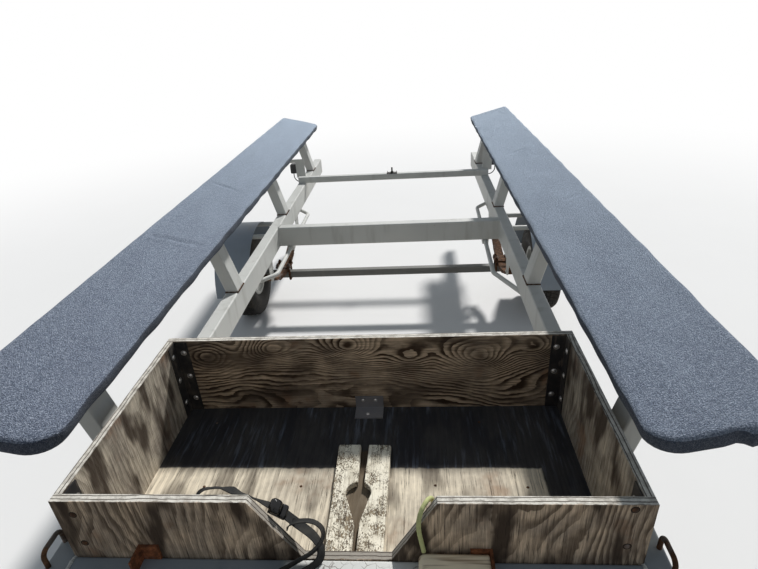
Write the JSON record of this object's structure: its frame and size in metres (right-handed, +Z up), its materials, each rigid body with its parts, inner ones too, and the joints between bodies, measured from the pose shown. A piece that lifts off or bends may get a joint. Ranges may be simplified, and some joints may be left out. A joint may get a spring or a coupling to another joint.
{
  "type": "boat trailer",
  "caption": "Single-axle boat trailer with tilted carpeted bunks on leaning posts, a plywood storage box, straight axle, round fenders, ball coupler, winch post and swivel jack.",
  "frame": {"origin": "on the ground, midway along the trailer and midway between its wheels", "axes": "+X across to the right seen from the coupler end looking rearwards, +Y towards the rear, +Z up"},
  "size_m": [1.812, 4.78, 0.9804],
  "materials": {
    "grey_paint": "weathered light grey paint",
    "fender_paint": "light grey paint on sheet steel",
    "rusty_steel": "bare rusty steel",
    "dark_steel": "black painted steel",
    "plated_steel": "dull zinc plate",
    "aluminium": "dull mill finish",
    "plywood": "weathered grey-brown plywood",
    "worn_board": "worn pale paint on wood",
    "pale_wood": "pale weathered softwood",
    "carpet": "slate-blue heather carpet",
    "tyre": "black rubber",
    "black_rubber": "black rubber",
    "black_plastic": "black plastic",
    "lamp": "red lens",
    "webbing": "wound webbing strap on a steel spool",
    "rope": "pale yellow braided rope"
  },
  "bodies": {
    "trailer": {"rail_left": "grey_paint", "rail_right": "grey_paint", "front_crossmember": "grey_paint", "box_crossmember": "grey_paint", "mid_crossmember": "grey_paint", "rear_bar": "grey_paint", "bar_clip": "dark_steel", "tongue_tube": "grey_paint", "floor_cleats": "grey_paint", "box_floor": "plywood", "box_side_walls": "plywood", "box_rear_wall": "plywood", "box_front_panel": "plywood", "corner_angles": "dark_steel", "floor_clip": "aluminium", "chock_boards": "worn_board", "stop_angles": "rusty_steel", "wood_block": "pale_wood", "tie_loops": "rusty_steel", "brace_tubes": "grey_paint", "bunk_posts_left": "grey_paint", "bunk_posts_right": "grey_paint", "bunk_left": "carpet", "bunk_right": "carpet", "axle": "grey_paint", "leaf_springs": "rusty_steel", "spring_hangers": "grey_paint", "spring_clamps": "rusty_steel", "fender_left": "fender_paint", "fender_right": "fender_paint", "fender_arms": "grey_paint", "lamp_brackets": "grey_paint", "lamps": "lamp", "coupler": "grey_paint", "coupler_latch": "plated_steel", "winch_post": "grey_paint", "winch_frame": "plated_steel", "winch_drum": "webbing", "winch_crank": "plated_steel", "bow_stop": "black_rubber", "jack_mount": "plated_steel", "lamp_leads": "black_rubber", "rope": "rope", "strap": "webbing", "strap_tail": "webbing", "strap_buckle": "plated_steel"},
    "wheel_left": {"tyre_left": "tyre", "rim_left": "grey_paint", "hub_left": "plated_steel"},
    "wheel_right": {"tyre_right": "tyre", "rim_right": "grey_paint", "hub_right": "plated_steel"},
    "jack": {"jack_tube": "plated_steel", "jack_crank": "black_plastic"},
    "jack_inner": {"jack_leg": "plated_steel"},
    "caster": {"caster_fork": "plated_steel"},
    "caster_roller": {"caster_wheel": "black_plastic"}
  },
  "joints": [
    {"name": "wheel_left_spin", "type": "hinge", "parent": "trailer", "child": "wheel_left", "pos_m": [-0.82, 1.146, 0.235], "axis": [1, 0, 0], "continuous": true},
    {"name": "wheel_right_spin", "type": "hinge", "parent": "trailer", "child": "wheel_right", "pos_m": [0.82, 1.146, 0.235], "axis": [1, 0, 0], "continuous": true},
    {"name": "jack_swivel", "type": "hinge", "parent": "trailer", "child": "jack", "pos_m": [-0.0681, -1.75, 0.44], "axis": [1, 0, 0], "range_deg": [0, 90]},
    {"name": "jack_lift", "type": "slide", "parent": "jack", "child": "jack_inner", "axis": [0, 0, 1], "range_m": [-0.1, 0.2]},
    {"name": "caster_swivel", "type": "hinge", "parent": "jack_inner", "child": "caster", "pos_m": [-0.1521, -1.75, 0.17], "axis": [0, 0, 1], "continuous": true},
    {"name": "caster_spin", "type": "hinge", "parent": "caster", "child": "caster_roller", "pos_m": [-0.1521, -1.78, 0.075], "axis": [1, 0, 0], "continuous": true}
  ]
}
